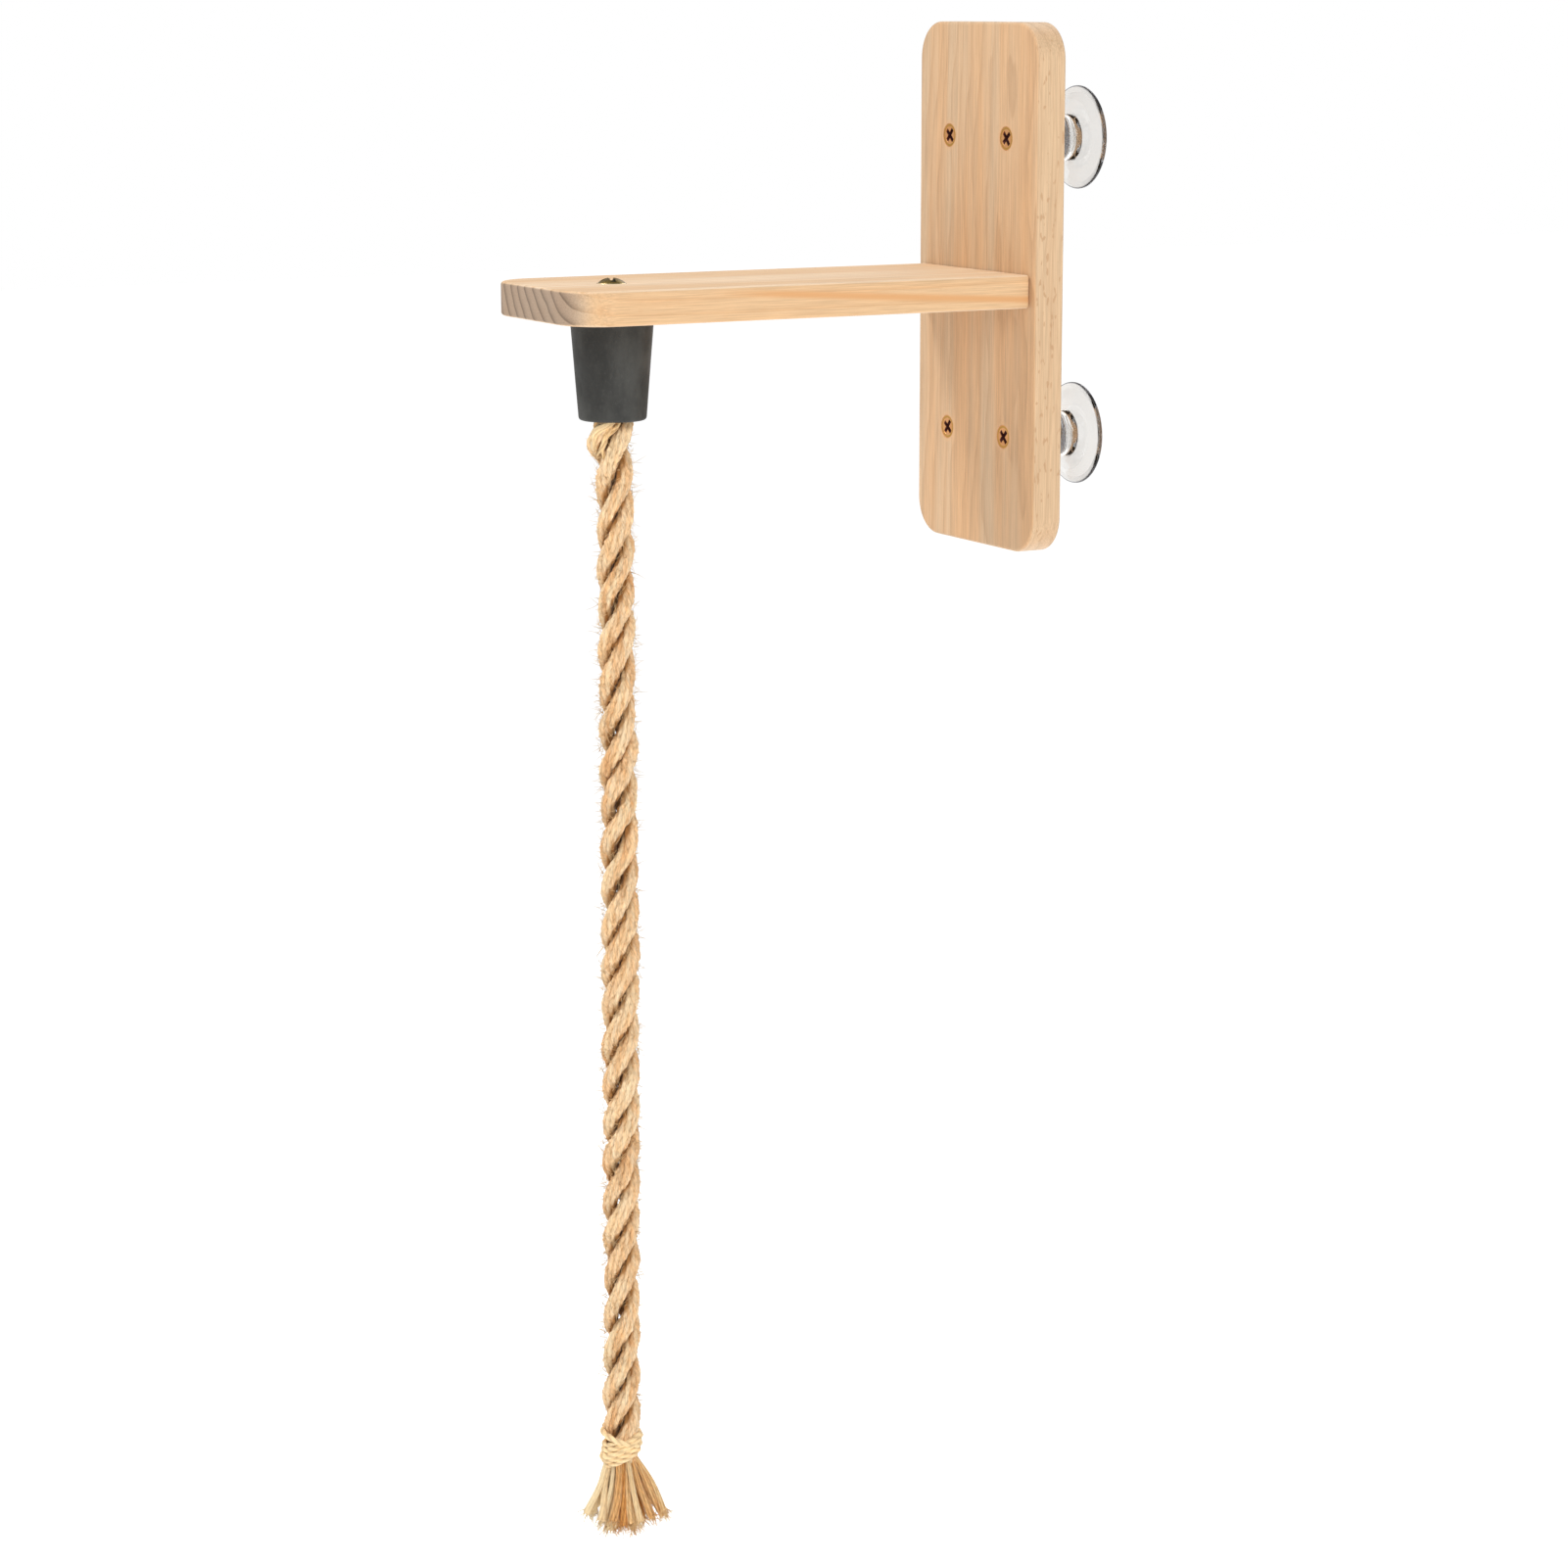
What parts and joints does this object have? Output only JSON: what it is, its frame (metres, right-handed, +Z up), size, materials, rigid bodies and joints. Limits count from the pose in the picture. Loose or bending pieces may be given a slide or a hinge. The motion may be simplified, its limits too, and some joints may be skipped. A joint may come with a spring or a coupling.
{
  "type": "suction-mounted climbing perch",
  "caption": "Pine bracket shelf held on glass by suction cups, with a laid jute climbing rope hanging from a rubber socket.",
  "frame": {"origin": "on the glass, at the centre of the four suction cups", "axes": "+Z up, +Y into the glass, the shelf reaches out towards -Y, +X to the right seen from the front"},
  "size_m": [0.11, 0.284, 0.7372],
  "materials": {
    "board_wood": "sanded, clear matt oil",
    "shelf_wood": "sanded, clear matt oil",
    "brass_plate": "yellow-passivated steel, satin",
    "zinc_steel": "bright zinc plate",
    "clear_cup": "soft clear PVC, glossy",
    "black_rubber": "matt moulded rubber",
    "jute": "natural jute, laid in three strands"
  },
  "bodies": {
    "bracket": {"back_board": "board_wood", "shelf": "shelf_wood", "shelf_screw_left": "zinc_steel", "shelf_screw_right": "zinc_steel", "cup_nut_upper_left": "brass_plate", "cup_nut_upper_right": "brass_plate", "cup_nut_lower_left": "brass_plate", "cup_nut_lower_right": "brass_plate", "cup_stud_upper_left": "zinc_steel", "cup_stud_upper_right": "zinc_steel", "cup_stud_lower_left": "zinc_steel", "cup_stud_lower_right": "zinc_steel", "suction_cup_upper_left": "clear_cup", "suction_cup_upper_right": "clear_cup", "suction_cup_lower_left": "clear_cup", "suction_cup_lower_right": "clear_cup"},
    "socket": {"rubber_socket": "black_rubber", "anchor_nut": "zinc_steel", "rope_screw": "brass_plate", "rope_held_end": "jute"},
    "hanging_rope": {"rope": "jute", "rope_whipping": "jute", "rope_tassel": "jute"}
  },
  "joints": [
    {"name": "socket_swivel", "type": "hinge", "parent": "bracket", "child": "socket", "pos_m": [0, -0.242, 0], "axis": [0, 0, 1], "range_deg": [-90, 90]},
    {"name": "rope_swing", "type": "hinge", "parent": "socket", "child": "hanging_rope", "pos_m": [0, -0.242, -0.0654], "axis": [1, 0, 0], "range_deg": [-60, 20]}
  ]
}
